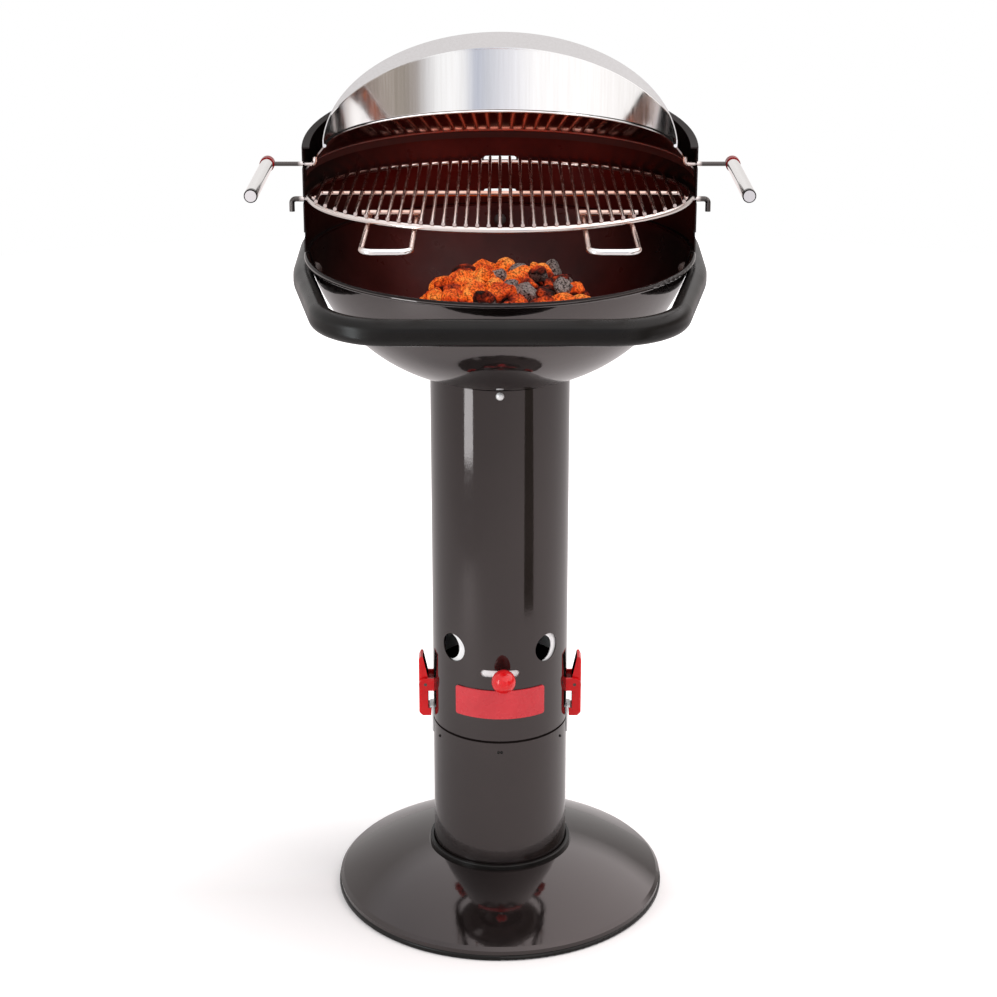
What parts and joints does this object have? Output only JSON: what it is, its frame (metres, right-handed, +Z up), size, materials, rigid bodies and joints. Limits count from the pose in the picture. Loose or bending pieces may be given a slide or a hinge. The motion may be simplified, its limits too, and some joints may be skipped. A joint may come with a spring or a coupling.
{
  "type": "pedestal charcoal grill",
  "caption": "Pedestal charcoal grill: round foot, air column with damper, fire bowl, wind screen, steel hood, hoop handle and a sliding chromed cooking grate",
  "frame": {"origin": "on the floor, on the column's axis", "axes": "+Z up along the column, the cook stands at -Y, +X is the cook's right hand"},
  "size_m": [0.5314, 0.5415, 1.0086],
  "materials": {
    "black_enamel": "glossy vitreous enamel",
    "black_plastic": "satin",
    "matt_black": "matt powder coat",
    "polished_steel": "polished stainless steel",
    "chrome_wire": "bright plated wire",
    "fire_steel": "heat-dulled",
    "galvanised_steel": "zinc plated",
    "red_plastic": "glossy",
    "red_plate": "gloss paint",
    "charcoal": "charred and glowing"
  },
  "bodies": {
    "stand": {"base_cone": "black_enamel", "base_rim_trim": "black_enamel", "ash_pot": "black_enamel", "column_tube": "black_enamel", "bowl": "black_enamel", "bowl_neck": "black_enamel", "wind_screen": "black_enamel", "screen_back": "black_enamel", "hood_skirt": "black_enamel", "column_collar": "black_plastic", "hoop_handle": "matt_black", "hoop_spacer": "matt_black", "hood": "polished_steel", "coal_grate_ring": "fire_steel", "coal_grate_bars": "fire_steel", "latch_pin_left": "galvanised_steel", "latch_pin_right": "galvanised_steel", "latch_catch_left": "galvanised_steel", "latch_catch_right": "galvanised_steel", "column_screws": "galvanised_steel", "rim_bolts": "galvanised_steel", "latch_ears_left": "red_plastic", "latch_ears_right": "red_plastic", "front_plate": "red_plate", "charcoal": "charcoal"},
    "damper": {"damper_ring": "galvanised_steel", "damper_stem": "galvanised_steel", "damper_knob": "red_plastic"},
    "latch_left": {"latch_lever_left": "red_plastic"},
    "latch_right": {"latch_lever_right": "red_plastic"},
    "handle_left": {"side_rod_left": "chrome_wire", "grip_collar_left": "red_plastic", "grip_left": "polished_steel"},
    "handle_right": {"side_rod_right": "chrome_wire", "grip_collar_right": "red_plastic", "grip_right": "polished_steel"},
    "grate": {"grate_ring": "chrome_wire", "grate_bars": "chrome_wire", "grate_cross_wire": "chrome_wire", "grate_loop_left": "chrome_wire", "grate_loop_right": "chrome_wire", "grate_short_wires": "chrome_wire"}
  },
  "joints": [
    {"name": "damper_turn", "type": "hinge", "parent": "stand", "child": "damper", "pos_m": [0, 0, 0.312], "axis": [0, 0, 1], "range_deg": [-16, 11]},
    {"name": "grate_slide", "type": "slide", "parent": "stand", "child": "grate", "axis": [0, -0.9984, 0.0558], "range_m": [0, 0.24]},
    {"name": "latch_left_press", "type": "hinge", "parent": "stand", "child": "latch_left", "pos_m": [-0.089, 0, 0.268], "axis": [0, 1, 0], "range_deg": [0, 14], "stiffness_Nm_per_rad": 1},
    {"name": "handle_left_fold", "type": "hinge", "parent": "stand", "child": "handle_left", "pos_m": [-0.24, 0, 0.89645], "axis": [1, 0, 0], "range_deg": [0, 75]},
    {"name": "latch_right_press", "type": "hinge", "parent": "stand", "child": "latch_right", "pos_m": [0.089, 0, 0.268], "axis": [0, -1, 0], "range_deg": [0, 14], "stiffness_Nm_per_rad": 1},
    {"name": "handle_right_fold", "type": "hinge", "parent": "stand", "child": "handle_right", "pos_m": [0.24, 0, 0.89645], "axis": [1, 0, 0], "range_deg": [0, 75]}
  ]
}
